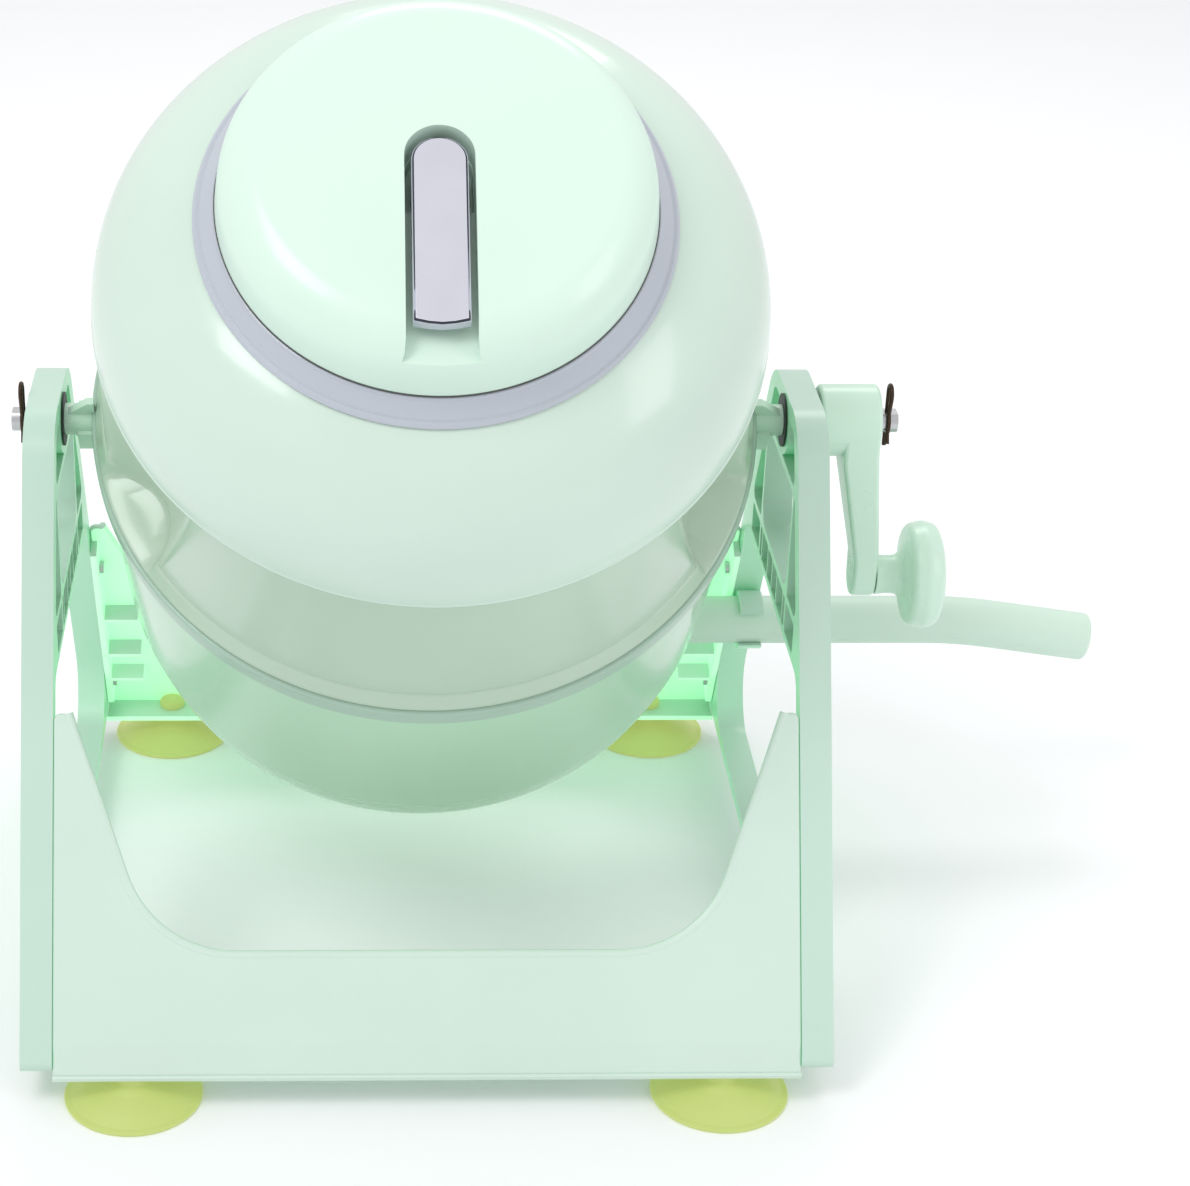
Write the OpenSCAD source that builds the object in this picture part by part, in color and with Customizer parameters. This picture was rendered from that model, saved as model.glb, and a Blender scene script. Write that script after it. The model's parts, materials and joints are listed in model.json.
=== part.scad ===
// A hand-cranked tumbling-drum washing machine on an A-frame stand with suction-cup feet.
// X runs along the axle to the crank, Y runs to the back, Z is up. The floor is Z = 0.

/* [Stand] */
// Half the distance between the side frames' inner faces
stand_inner = 148; // [146:1:160]
// Thickness of a side frame
frame_thick = 12.6; // [10:0.2:16]
// Height of the side frames' lower edge above the floor
frame_bottom = 15; // [13:0.5:18]
// Height of the side frames' top edge
frame_top = 242.5; // [238:0.5:250]
// Half depth of the stand at its lower edge
foot_half = 157.8; // [150:0.2:175]
// Width of the band round a side frame, square to its edge
band = 9.5; // [8:0.5:12]
// Thickness of the front and rear walls
wall = 3.2; // [2.4:0.2:4]
// Depth of solid wall under the U-cut, measured in the wall's plane
cut_low = 50; // [30:1:56]

/* [Drum] */
// Height of the axle above the floor
axle_z = 229.5; // [225:0.5:232]
// Angle that the drum's mouth leans towards the front at rest
drum_tilt = 37.8; // [20:0.2:60]
// Outer radius of the hoop round the drum
hoop_r = 135.7; // [135:0.1:138]
// Wall thickness of the tubs
tub_wall = 2.8; // [2:0.2:3.6]
// Radius of the mouth
mouth_r = 75; // [74.8:0.1:76]

/* [Crank and lid] */
// Distance between the axle and the knob's axis
crank_throw = 70.7; // [55:0.1:75]
// Diameter of the knob
knob_d = 46; // [34:1:50]
// Width of the lid's lever
lever_w = 20; // [16:1:22]

/* [Drain tube] */
// Outer diameter of the tube
tube_d = 22; // [20:0.5:24]
// Angle of the tube's bend
tube_bend = 8.5; // [4:0.5:20]

/* [Hidden] */
$fn = 96;

// Clearances
gap = 0.3;
running = 0.06;

// The origin lies under the middle of the whole machine, and the axle's middle lies here
middle = [-72.72, -1.17, 0];

// Stand
lean = 0.545; // how far the stand narrows on each side for each unit of height
lean_angle = atan(lean);
band_y = band / cos(lean_angle);
frame_out = stand_inner + frame_thick;
bar_low = 149;
bar_high = 168;
post_y = 37;
post_half = 1.5;
web = 4.6;
pocket = frame_thick - web;
boss_r = 14;
bush_r = 8;
window_top = 212;
flange_t = 2.5;
flange_deep = 21;
end_deep = 11; // depth of the walls' end flanges and ribs
cup_x = 116.9;
cup_y = 147.8;
cup_r = 27.5;
stem_r = 4;
head_r = 6.1;
head_h = 4.8;
screw_v = [24, 118];
screw_in = 6.4;
screw_r = 1.5;

// Axle
pin_r = 5;
flat_in = 1.2;
pin_start = 135.8;
stub_r = 6.5;
stub_end = 147;
washer_t = 0.8;
hub_r = 14.9;
hub_in = 161.8;
hub_out = 186.5;
left_end = 168.5;
right_end = 194.6;
left_clip_x = 164;
right_clip_x = 190.4;
wire_r = 0.9;

// Drum, as (radius, distance along the drum's axis from the axle)
hoop_low = -1;
hoop_high = 8;
rim_r = 134;
seam_in = rim_r - 6.6;
belt_top = 91.6;
dome_r = 60;
dome_c = [69, 92];
neck_t = 149.2;
mouth_t = 156;
collar_t = 157.75;
collar_r = 80;
bowl_edge = [129, -105];
bowl_c = [73, -106];
bowl_round = 55;
bottom_t = bowl_c[1] - bowl_round;

// Hand pockets: bites of a cone that leans outwards beside each trunnion
bite_turn = 24;
bite_apex = [119.3, -25];
bite_lean = 25.1;
bite_half = 32.6;
bite_floor = 10;

// Crank
crank_z = axle_z - crank_throw;
arm_end_r = 9;
knob_in = 191.3;
knob_out = 219;
shoulder_r = 3;

// Valve in the middle of the drum's bottom
port_r = tube_d / 2 + 0.2;
valve_r = port_r + 3.3;
valve_low = -176;
valve_top = -150;
valve_bore = 9;
push_t = -169;
spring_r = 5;
spring_wire = 0.6;
spring_turns = 4.5;

// Lid
lid_base = collar_t + gap;
lid_top_r = 61;
lid_round = 18;
lid_edge_t = 184.5;
lid_crown = 3.5;
lid_shell = 2.5;
spigot_r = mouth_r - 0.6;
spigot_t = 154;
slot_r = 12.5;
slot_c = 0.5;
slot_floor = 174.5;
well_floor = 167.5;
well_front = -15;
pivot_t = 178.5;
cam_r = 10.7;
cam_drop = 0.019;
rod_r = 4;
lever_top = [[-66, 182.8], [-60, 183.6], [0, 186.6], [9.2, 186]];
lever_under = 1.2;
inlay = 0.8;

// Drain tube
tube_y = 90;
tube_z = 91.5;
tube_start = 108;
tube_turn = 251;
tube_tail = 62;
tube_bore = 9.2;

// ---------- helpers ----------

function unit(v) = v / norm(v);

// Points of an arc of radius r that rounds the corner b of the path a, b, c
function round_corner(a, b, c, r, steps = 6) = r == 0 ? [b] :
    let (
        u = unit(a - b),
        w = unit(c - b),
        half = acos(u * w) / 2,
        centre = b + unit(u + w) * r / sin(half),
        start = b + u * r / tan(half) - centre,
        end = b + w * r / tan(half) - centre,
        turn = 180 - 2 * half
    )
    [for (k = [0:steps])
        centre + (sin((1 - k / steps) * turn) * start + sin(k / steps * turn) * end) / sin(turn)];

// An outline whose corner i is rounded with radius rs[i]
function rounded(p, rs) = let (n = len(p))
    [for (i = [0:n - 1]) each round_corner(p[(i + n - 1) % n], p[i], p[(i + 1) % n], rs[i])];

// Points of an arc about c from angle a0 to a1
function arc(c, r, a0, a1, steps = 12) =
    [for (k = [0:steps]) let (a = a0 + (a1 - a0) * k / steps) c + r * [cos(a), sin(a)]];

// Half depth of the stand's outline at height z
function half_at(z) = foot_half - lean * (z - frame_bottom);

// Moves what is modelled round the axle's middle to its place
module placed() {
    translate(middle) children();
}

module both_y() {
    children();
    mirror([0, 1, 0]) children();
}

// Extrudes an outline given as (Y, Z) from x0 to x1
module along_x(x0, x1) {
    translate([x0, 0, 0]) rotate([90, 0, 90]) linear_extrude(x1 - x0) children();
}

module rod_x(x0, x1, y, z, r) {
    translate([x0, y, z]) rotate([0, 90, 0]) cylinder(h = x1 - x0, r = r);
}

// Puts what is modelled along the drum's axis, with the axle at its origin, in its place
module in_drum() {
    translate([0, 0, axle_z]) rotate([drum_tilt, 0, 0]) children();
}

// A ring given by its section as (radius, height)
module ring(p) {
    rotate_extrude() polygon(p);
}

// A sleeve from t0 to t1 between two radii
module sleeve(t0, t1, r_in, r_out) {
    translate([0, 0, t0]) difference() {
        cylinder(h = t1 - t0, r = r_out);
        translate([0, 0, -1]) cylinder(h = t1 - t0 + 2, r = r_in);
    }
}

// ---------- stand ----------

module frame_outline() {
    w = half_at(frame_top);
    polygon(rounded([[-foot_half, frame_bottom], [foot_half, frame_bottom], [w, frame_top], [-w, frame_top]],
        [4, 4, 26, 26]));
}

module lower_window() {
    low = frame_bottom + 5;
    a = half_at(low) - band_y;
    b = half_at(bar_low) - band_y;
    polygon(rounded([[-a, low], [a, low], [b, bar_low], [-b, bar_low]], [22, 22, 10, 10]));
}

module upper_window() {
    w = post_y - post_half;
    difference() {
        polygon(rounded([[-w, bar_high], [w, bar_high], [w, window_top], [-w, window_top]], [10, 10, 4, 4]));
        translate([0, axle_z]) circle(r = boss_r + 2);
    }
}

// The sunk panel between a post and the slanting band
module corner_panel() {
    y0 = post_y + post_half;
    y1 = half_at(bar_high) - band_y;
    z1 = bar_high + (y1 - y0) / lean;
    polygon(rounded([[y0, bar_high], [y1, bar_high], [y0, z1]], [2, 4, 0]));
}

// The sunk cells of the cross bar
module bar_cells() {
    z0 = bar_low + 3;
    z1 = bar_high - 3;
    edges = [0.75, 12.25, 13.75, 29.25, 30.75, 35.5, 38.5, 60];
    for (i = [0:2:6]) translate([edges[i], z0]) square([edges[i + 1] - edges[i], z1 - z0]);
}

// The sunk area beside the axle's boss
module crown_panel() {
    w0 = half_at(window_top + 3) - band_y;
    w1 = half_at(frame_top - 8) - band_y;
    difference() {
        polygon(rounded([[-w0, window_top + 3], [w0, window_top + 3], [w1, frame_top - 8],
            [-w1, frame_top - 8]],
            [3, 3, 10, 10]));
        translate([0, axle_z]) circle(r = boss_r);
        translate([-boss_r / 2, axle_z]) square([boss_r, 20]);
        translate([-2, window_top]) square([4, 10]);
    }
}

module side_frame() {
    difference() {
        along_x(stand_inner, frame_out) frame_outline();
        along_x(stand_inner - 1, frame_out + 1) lower_window();
        along_x(stand_inner - 1, frame_out + 1) upper_window();
        both_y() along_x(stand_inner - 1, stand_inner + pocket) corner_panel();
        both_y() along_x(stand_inner - 1, stand_inner + pocket) bar_cells();
        along_x(stand_inner - 1, stand_inner + pocket) crown_panel();
        rod_x(stand_inner - 1, frame_out + 1, 0, axle_z, bush_r);
        both_y() screws(0);
    }
}

// Lays a panel drawn as (X, distance up the slope) in the front wall's leaning plane, skin outwards
module on_slope() {
    translate([0, -foot_half, frame_bottom]) rotate([90 - lean_angle, 0, 0]) children();
}

module wall_outline() {
    half = stand_inner - 0.1;
    ear = 143.5;
    slant = 0.346;
    low = 107.9 + (cut_low - 50) * slant;
    high = low + (ear - cut_low) * slant;
    polygon(rounded(
        [[-half, 0], [half, 0], [half, ear], [high, ear], [low, cut_low],
            [-low, cut_low], [-high, ear], [-half, ear]],
        [0, 0, 1, 4, 45, 45, 4, 1]));
}

module wall_panel() {
    half = stand_inner - 0.1;
    difference() {
        union() {
            on_slope() translate([0, 0, -wall]) linear_extrude(wall) wall_outline();
            // end flanges that the screws pass through, and the ribs that stiffen them
            for (s = [-1, 1]) on_slope() {
                translate([s * (half - wall / 2) - wall / 2, 12, -end_deep])
                    cube([wall, 122, end_deep - wall / 2]);
                for (v = [32, 53, 82]) {
                    translate([s * (half - 9.5) - 9.5, v - 1, -end_deep]) cube([19, 2, end_deep - wall / 2]);
                }
            }
            // bottom flange that the cups hang from, with a rounded lower edge
            translate([-half, -foot_half + 1, frame_bottom - flange_t])
                cube([2 * half, flange_deep, flange_t]);
            rod_x(-half, half, -foot_half + 2.2, frame_bottom - 0.1, 2.4);
        }
        // holes for the cups' stems, and hollows in the skin that clear their heads
        for (s = [-1, 1]) translate([s * cup_x, -cup_y, 0]) {
            cylinder(h = frame_bottom + 1, r = stem_r + 0.1);
            translate([0, 0, frame_bottom]) cylinder(h = head_h - 0.8, r = head_r + 0.15);
            translate([0, 0, frame_bottom]) cylinder(h = head_h + 0.3, r = head_r - 1);
        }
        screws(0.1);
    }
}

// Four screws that join the front wall's ends to the side frames, or their holes
module screws(extra) {
    for (s = [-1, 1], v = screw_v) on_slope() translate([s * (stand_inner - wall - 0.1), v, -screw_in]) {
        rotate([0, s * 90, 0]) cylinder(h = 10, r = screw_r + extra);
    }
}

module screw_heads() {
    for (s = [-1, 1], v = screw_v) on_slope() translate([s * (stand_inner - wall - 0.1), v, -screw_in]) {
        rotate([0, -s * 90, 0]) cylinder(h = 1.8, r = 2.9);
    }
}

module frame_screws() {
    color("silver") both_y() {
        screws(0);
        screw_heads();
    }
}

module bush(end) {
    difference() {
        union() {
            rod_x(stand_inner + 0.1, frame_out, 0, axle_z, bush_r);
            rod_x(frame_out, frame_out + 0.8, 0, axle_z, bush_r + 3);
        }
        rod_x(stand_inner - 1, frame_out + end, 0, axle_z, pin_r + running);
    }
}

module cup() {
    top = frame_bottom - flange_t;
    ring([
        [0, 3], [10, 2.6], [20, 1.4], [24.5, 0], [cup_r - 0.6, 0], [cup_r, 0.6], [cup_r, 1.6],
        [cup_r - 2.5, 1.8], [20, 4.2], [12, 7], [7, 9.5], [6.4, top], [stem_r, top],
        [stem_r, frame_bottom], [head_r - 0.4, frame_bottom], [head_r, frame_bottom + 1.6],
        [head_r - 0.3, frame_bottom + head_h - 1.8], [head_r - 1.4, frame_bottom + head_h - 0.8],
        [3, frame_bottom + head_h - 0.1], [0, frame_bottom + head_h]
    ]);
}

// A snap clip that grips the drain tube inside the right frame's lower window
module tube_clip() {
    grip = tube_d / 2 + 0.1;
    color("honeydew") intersection() {
        along_x(stand_inner, frame_out) lower_window();
        difference() {
            union() {
                rod_x(stand_inner + 1, frame_out - 1, tube_y, tube_z, grip + 2.4);
                translate([stand_inner + 1, tube_y, tube_z - 5]) cube([frame_thick - 2, 20, 10]);
            }
            rod_x(stand_inner, frame_out, tube_y, tube_z, grip);
            translate([stand_inner, tube_y - 30, tube_z - 8]) cube([frame_thick, 23, 16]);
        }
    }
}

// ---------- drum ----------

// A hand pocket grown by w on every side
module bite(w) {
    intersection() {
        translate([bite_apex[0], 0, bite_apex[1]]) rotate([0, bite_lean, 0]) {
            translate([0, 0, -w / sin(bite_half)]) cylinder(h = 220, r1 = 0, r2 = 220 * tan(bite_half));
        }
        translate([40, -120, bite_floor - w]) cube([120, 240, belt_top - bite_floor + 2 * w]);
    }
}

module bites(w) {
    for (a = [bite_turn, -bite_turn, 180 - bite_turn, 180 + bite_turn]) rotate([0, 0, a]) bite(w);
}

module upper_tub() {
    inner_r = dome_r - tub_wall - 0.2;
    mouth_a = acos((mouth_r - dome_c[0]) / inner_r);
    color("honeydew") in_drum() difference() {
        ring(concat(
            [[0, hoop_high], [rim_r, hoop_high], [rim_r - 0.4, hoop_high + 2.5], [131, 16], [130.3, 16.4]],
            [[128.3, belt_top - 1], [129.3, belt_top - 0.8], [129.3, belt_top + 0.2]],
            arc(dome_c, dome_r, 0, 71.5, 14),
            [[87.6, neck_t], [85.6, neck_t], [79.2, mouth_t], [0, mouth_t]]
        ));
        translate([0, 0, mouth_t - 20]) cylinder(h = 40, r = mouth_r);
        difference() {
            ring(concat(
                [[0, hoop_high - 1], [seam_in, hoop_high - 1], [seam_in, 16]],
                arc(dome_c, inner_r, 0, mouth_a, 14),
                [[0, dome_c[1] + inner_r * sin(mouth_a)]]
            ));
            bites(tub_wall);
        }
        bites(0);
    }
}

module lower_tub() {
    inner = bowl_round - tub_wall;
    color("darkseagreen") in_drum() ring(concat(
        [[seam_in, hoop_low], [rim_r, hoop_low], [rim_r, hoop_low - 1.6], [rim_r - 1, hoop_low - 2.2]],
        [bowl_edge],
        arc(bowl_c, bowl_round, 0, -90, 14),
        [[valve_r + 0.1, bottom_t], [valve_r + 0.1, bottom_t + tub_wall]],
        arc(bowl_c, inner, -90, 0, 14)
    ));
}

module carrier_ring() {
    color("cadetblue") difference() {
        union() {
            in_drum() ring([[seam_in, hoop_low], [hoop_r - 0.6, hoop_low], [hoop_r, hoop_low + 1],
                [hoop_r, hoop_high - 1], [hoop_r - 0.6, hoop_high], [seam_in, hoop_high]]);
            for (s = [0, 1]) mirror([s, 0, 0]) in_drum() {
                rod_x(hoop_r - 1.5, stub_end, 0, 0, stub_r);
                // gussets above and below the stub
                rotate([90, 0, 0]) translate([0, 0, -1.6]) linear_extrude(3.2) {
                    polygon([[hoop_r - 1.2, 0], [hoop_r - 1.2, 14.5],
                        [137.2, 14.5], [stub_end - 0.6, stub_r - 1],
                        [stub_end - 0.6, -stub_r + 1], [138, -22], [hoop_r - 1.2, -22]]);
                }
                translate([hoop_r - 1, -8, -11]) cube([7, 16, 12]);
            }
        }
        in_drum() sleeve(hoop_high - 1.8, hoop_high + 1, seam_in + 2, seam_in + 4);
        for (s = [0, 1]) mirror([s, 0, 0]) axle_pin(200);
    }
}

module tub_seal() {
    color("dimgray") in_drum() sleeve(hoop_high - 1.8, hoop_high, seam_in + 2, seam_in + 4);
}

module neck_ring() {
    color("silver") in_drum() ring([
        [85.8, neck_t + 0.1], [88.2, neck_t + 0.1], [88.4, neck_t + 0.7], [87.6, neck_t + 1.3],
        [80.9, collar_t - 0.7], [80.3, collar_t], [mouth_r + 1.5, collar_t], [mouth_r + 1.5, mouth_t + 0.1],
        [79.3, mouth_t + 0.1]
    ]);
}

// A pin with flats where the stub and the crank grip it, round where it runs in its bush
module axle_pin(end) {
    difference() {
        rod_x(pin_start, end, 0, axle_z, pin_r);
        translate([0, 0, axle_z]) {
            translate([pin_start - 1, -2 * pin_r, pin_r - flat_in])
                cube([stub_end - pin_start, 4 * pin_r, 9]);
            translate([hub_in - 0.2, -2 * pin_r, pin_r - flat_in]) cube([60, 4 * pin_r, 9]);
        }
    }
}

module axle(end, clip_x) {
    difference() {
        axle_pin(end);
        translate([clip_x, 0, axle_z - 10]) cylinder(h = 20, r = wire_r + 0.1);
    }
}

module thrust_washer() {
    difference() {
        rod_x(stub_end + 0.05, stub_end + 0.05 + washer_t, 0, axle_z, 11);
        rod_x(stub_end - 1, stub_end + 2, 0, axle_z, pin_r + 0.05);
    }
}

// A round wire from p to q
module wire(p, q) {
    d = q - p;
    translate(p) rotate([0, acos(d[2] / norm(d)), atan2(d[1], d[0])])
        cylinder(h = norm(d), r = wire_r, $fn = 24);
    translate(p) sphere(r = wire_r, $fn = 24);
    translate(q) sphere(r = wire_r, $fn = 24);
}

// A spring clip: one leg goes through the pin, a loop joins it to the leg that hugs the pin
module spring_clip(x) {
    loop_r = 3.6;
    hug_r = pin_r + wire_r + 0.15;
    hug_a = 42;
    translate([x, 0, axle_z]) {
        wire([0, 0, -11], [0, 0, 13]);
        translate([0, -loop_r, 13]) rotate([90, 0, 90]) rotate_extrude(angle = 180) {
            translate([loop_r, 0]) circle(r = wire_r, $fn = 24);
        }
        wire([0, -2 * loop_r, 13], [0, -hug_r * cos(hug_a), hug_r * sin(hug_a)]);
        rotate([90, 0, 90]) rotate([0, 0, 180 - hug_a]) rotate_extrude(angle = 2 * hug_a) {
            translate([hug_r, 0]) circle(r = wire_r, $fn = 24);
        }
        wire([0, -hug_r * cos(hug_a), -hug_r * sin(hug_a)], [0, -6.4, -8]);
    }
}

// ---------- crank ----------

module crank() {
    s = (hub_r - arm_end_r) / crank_throw;
    c = sqrt(1 - s * s);
    color("honeydew") difference() {
        union() {
            rod_x(hub_in, hub_out, 0, axle_z, hub_r);
            intersection() {
                along_x(hub_in, knob_in) union() {
                    translate([0, axle_z]) circle(r = hub_r);
                    translate([0, crank_z]) circle(r = arm_end_r);
                    polygon([[-hub_r * c, axle_z - hub_r * s], [hub_r * c, axle_z - hub_r * s],
                        [arm_end_r * c, crank_z - arm_end_r * s], [-arm_end_r * c, crank_z - arm_end_r * s]]);
                }
                // the arm cranks outwards as it goes down
                translate([0, 30, 0]) rotate([90, 0, 0]) linear_extrude(60) polygon([
                    [hub_out - 14.5, axle_z + hub_r], [hub_out, axle_z + hub_r], [hub_out, axle_z - 10],
                    [knob_in - gap, crank_z + 12], [knob_in - gap, crank_z - arm_end_r - 1],
                    [knob_in - 10.3, crank_z - arm_end_r - 1], [knob_in - 10.3, crank_z + 9],
                    [hub_out - 14.5, axle_z - hub_r]
                ]);
            }
        }
        axle_pin(right_end + 5);
        rod_x(knob_in - 20, knob_in + 5, 0, crank_z, shoulder_r - 0.5);
    }
}

module knob_screw() {
    color("silver") {
        rod_x(knob_in - 10, knob_in - gap, 0, crank_z, shoulder_r - 0.5);
        rod_x(knob_in - gap, knob_out - 6, 0, crank_z, shoulder_r);
        rod_x(knob_out - 6, knob_out - 3.5, 0, crank_z, 5.5);
    }
}

module crank_knob() {
    r = knob_d / 2;
    bore = shoulder_r + running;
    color("honeydew") translate([0, 0, crank_z]) rotate([0, 90, 0]) ring([
        [bore, knob_in], [8.6, knob_in], [8.2, knob_in + 1.5], [8, knob_in + 9], [9.5, knob_in + 11.5],
        [r - 5, knob_in + 12.9], [r - 2, knob_in + 14], [r - 0.3, knob_in + 17], [r, knob_in + 20],
        [r - 0.8, knob_out - 4.6], [r - 3.5, knob_out - 1.6], [r - 8, knob_out], [9, knob_out - 0.4],
        [7, knob_out - 1.2], [7, knob_out - 6.2], [bore, knob_out - 6.2]
    ]);
}

// ---------- valve ----------

module valve_seat() {
    color("white") in_drum() {
        ring([
            [port_r, valve_low], [valve_r, valve_low], [valve_r, bottom_t - 3], [valve_r + 5, bottom_t - 3],
            [valve_r + 5, bottom_t], [valve_r, bottom_t], [valve_r, valve_top], [valve_bore, valve_top],
            [valve_bore, bottom_t - 2], [port_r, bottom_t - 3]
        ]);
        // a three-armed guide for the plunger's stem
        sleeve(bottom_t + 2, bottom_t + 6, 2.5 + running, 4.5);
        for (a = [0, 120, 240]) rotate([0, 0, a]) translate([4, -0.8, bottom_t + 2]) cube([5.4, 1.6, 4]);
    }
}

module valve_nut() {
    color("white") in_drum() sleeve(bottom_t + tub_wall, bottom_t + tub_wall + 5, valve_r, valve_r + 4.5);
}

module valve_plunger() {
    color("white") in_drum() {
        translate([0, 0, push_t]) cylinder(h = valve_top + 3.6 - push_t, r = 2.5);
        translate([0, 0, valve_top + 1.3]) cylinder(h = 2.3, r = 11.6);
        translate([0, 0, push_t]) cylinder(h = 1.4, r = 6.6);
        for (a = [0, 90]) rotate([0, 0, a]) translate([-10.6, -0.8, push_t]) cube([21.2, 1.6, 1.4]);
    }
}

module valve_seal() {
    color("dimgray") in_drum() sleeve(valve_top + 0.05, valve_top + 1.3, 2.5, 11.4);
}

// The spring between the guide and the plunger's foot
module valve_spring() {
    low = push_t + 1.4 + spring_wire;
    high = bottom_t + 2 - spring_wire;
    steps = 20 * spring_turns;
    sides = 8;
    points = [for (i = [0:steps], j = [0:sides - 1]) let (
            a = i / steps * 360 * spring_turns,
            b = 360 * j / sides,
            r = spring_r - 1 + spring_wire * cos(b)
        ) [r * cos(a), r * sin(a), low + (high - low) * i / steps + spring_wire * sin(b)]];
    faces = [for (i = [0:steps - 1], j = [0:sides - 1]) let (k = (j + 1) % sides)
        [i * sides + j, i * sides + k, (i + 1) * sides + k, (i + 1) * sides + j]];
    start = [for (j = [0:sides - 1]) sides - 1 - j];
    end = [for (j = [0:sides - 1]) steps * sides + j];
    color("silver") in_drum() polyhedron(points, concat(faces, [start, end]), convexity = 10);
}

// ---------- lid ----------

function lid_section(w) = let (
        top_r = lid_top_r,
        crown_steps = 6
    ) concat(
        [[collar_r - w, lid_base], [collar_r - 0.8 - w, lid_edge_t - lid_round]],
        arc([top_r, lid_edge_t - lid_round], lid_round - w, 8, 90, 8),
        [for (k = [1:crown_steps]) let (u = 1 - k / crown_steps)
            [top_r * u, lid_edge_t - w + lid_crown * (1 - u * u)]]
    );

// The channel that the lever lies in, grown by w: it runs out through the lid's edge and has a well for the cam
module slot(w) {
    plan_r = slot_r + w;
    outer = collar_r + 2;
    translate([-plan_r, well_front - w, well_floor - w]) cube([2 * plan_r, slot_c - well_front + w, 40]);
    translate([0, slot_c, well_floor - w]) cylinder(h = 40, r = plan_r);
    translate([-plan_r, -outer, slot_floor - w]) cube([2 * plan_r, outer, 40]);
}

module lid_cap() {
    color("mintcream") in_drum() difference() {
        union() {
            difference() {
                union() {
                    ring(concat([[0, lid_base]], lid_section(0)));
                    translate([0, 0, spigot_t]) cylinder(h = lid_base - spigot_t, r = spigot_r);
                }
                difference() {
                    union() {
                        ring(concat([[0, lid_base + lid_shell]],
                            [[collar_r - 0.8 - lid_shell, lid_base + lid_shell]],
                            [for (i = [2:len(lid_section(0)) - 1]) lid_section(lid_shell)[i]]));
                        translate([0, 0, spigot_t - 1]) cylinder(h = 6, r = spigot_r - lid_shell);
                        translate([0, 0, lid_base - 1]) cylinder(h = 6, r = spigot_r - lid_shell);
                    }
                    slot(lid_shell);
                }
            }
            translate([0, 0, well_floor - 8]) cylinder(h = 7, r = 8);
        }
        slot(0);
        translate([0, 0, spigot_t]) cylinder(h = 40, r = rod_r + running);
    }
}

module lid_gasket() {
    color("gray") in_drum() sleeve(spigot_t - 5, spigot_t, mouth_r - 5, mouth_r - gap);
}

module clamp_rod() {
    color("silver") in_drum() difference() {
        union() {
            translate([0, 0, 141]) cylinder(h = pivot_t - 141, r = rod_r);
            rod_x(-rod_r, rod_r, 0, pivot_t, 5);
        }
        rod_x(-6, 6, 0, pivot_t, 2);
    }
}

module lever_pin() {
    color("silver") in_drum() rod_x(-lever_w / 2 + 0.8, lever_w / 2 - 0.8, 0, pivot_t, 2);
}

module pressure_plate() {
    color("honeydew") in_drum() {
        difference() {
            ring([[0, 146], [10, 146], [14, 147], [mouth_r - 3, 147],
                [mouth_r - 2, 148], [mouth_r - 2, spigot_t - 5],
                [mouth_r - 6, spigot_t - 5], [mouth_r - 8, 149.4], [14, 149.4], [10, 152], [0, 152]]);
            translate([0, 0, 140]) cylinder(h = 20, r = rod_r);
        }
    }
}

module clamp_nut() {
    color("silver") in_drum() difference() {
        translate([0, 0, 141.6]) cylinder(h = 4.4, r = 7.5, $fn = 6);
        translate([0, 0, 140]) cylinder(h = 10, r = rod_r);
    }
}

// The lever's plan: a bar with a round inner end and a slightly bowed outer end
module lever_plan(inset) {
    half = lever_w / 2 - inset;
    outer = lever_top[0][0] + inset;
    polygon(concat(
        arc([0, 9 - lever_w / 2], half, 0, 180, 16),
        [[-half, outer + 2], [-half * 0.5, outer + 0.5],
            [0, outer], [half * 0.5, outer + 0.5], [half, outer + 2]]
    ));
}

module lid_lever() {
    // the cam bears on the well's floor, and its radius falls evenly as the lever is raised
    cam = [for (a = [-30:10:100]) let (r = cam_r - cam_drop * a) [r * sin(a), pivot_t - r * cos(a)]];
    color("white") in_drum() difference() {
        intersection() {
            along_x(-lever_w, lever_w) polygon(concat(
                [[lever_top[0][0], 179.4], [well_front + 2, pivot_t + lever_under]],
                cam,
                [[9.2, lever_top[3][1] - 1], [8.6, 186.04], [0, lever_top[2][1]]],
                [lever_top[1], [lever_top[0][0] + 0.6, lever_top[0][1]],
                    [lever_top[0][0], lever_top[0][1] - 0.6]]
            ));
            translate([0, 0, 150]) linear_extrude(60) lever_plan(0);
        }
        translate([-rod_r - gap, -5.5, 160]) cube([2 * (rod_r + gap), 20, pivot_t + 5.5 - 160]);
        rod_x(-lever_w, lever_w, 0, pivot_t, 2 + running);
    }
}

module lever_plate() {
    ends = [lever_top[0][0] + 1.5, 7.8];
    color("lavender") in_drum() intersection() {
        along_x(-lever_w, lever_w) polygon(concat(
            [for (m = [ends[0], -60, 0, ends[1]]) [m, lookup(m, lever_top)]],
            [for (m = [ends[1], 0, -60, ends[0]]) [m, lookup(m, lever_top) + inlay]]
        ));
        translate([0, 0, 150]) linear_extrude(60) lever_plan(1);
    }
}

// ---------- drain tube ----------

// The tube's outside or bore: two straight runs that meet at a mitre
module tube_path(r, extra) {
    half = tube_bend / 2;
    run = tube_turn - tube_start + extra;
    translate([tube_turn, tube_y, tube_z]) rotate([0, half, 0]) {
        intersection() {
            rotate([0, -half, 0]) rod_x(-run, 2 * r, 0, 0, r);
            translate([-2 * run, -50, -50]) cube([2 * run, 100, 100]);
        }
        intersection() {
            rotate([0, half, 0]) rod_x(-2 * r, tube_tail + extra, 0, 0, r);
            translate([0, -50, -50]) cube([2 * run, 100, 100]);
        }
    }
}

module drain_tube() {
    color("honeydew") difference() {
        tube_path(tube_d / 2, 0);
        tube_path(tube_bore, 1);
    }
}

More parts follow.
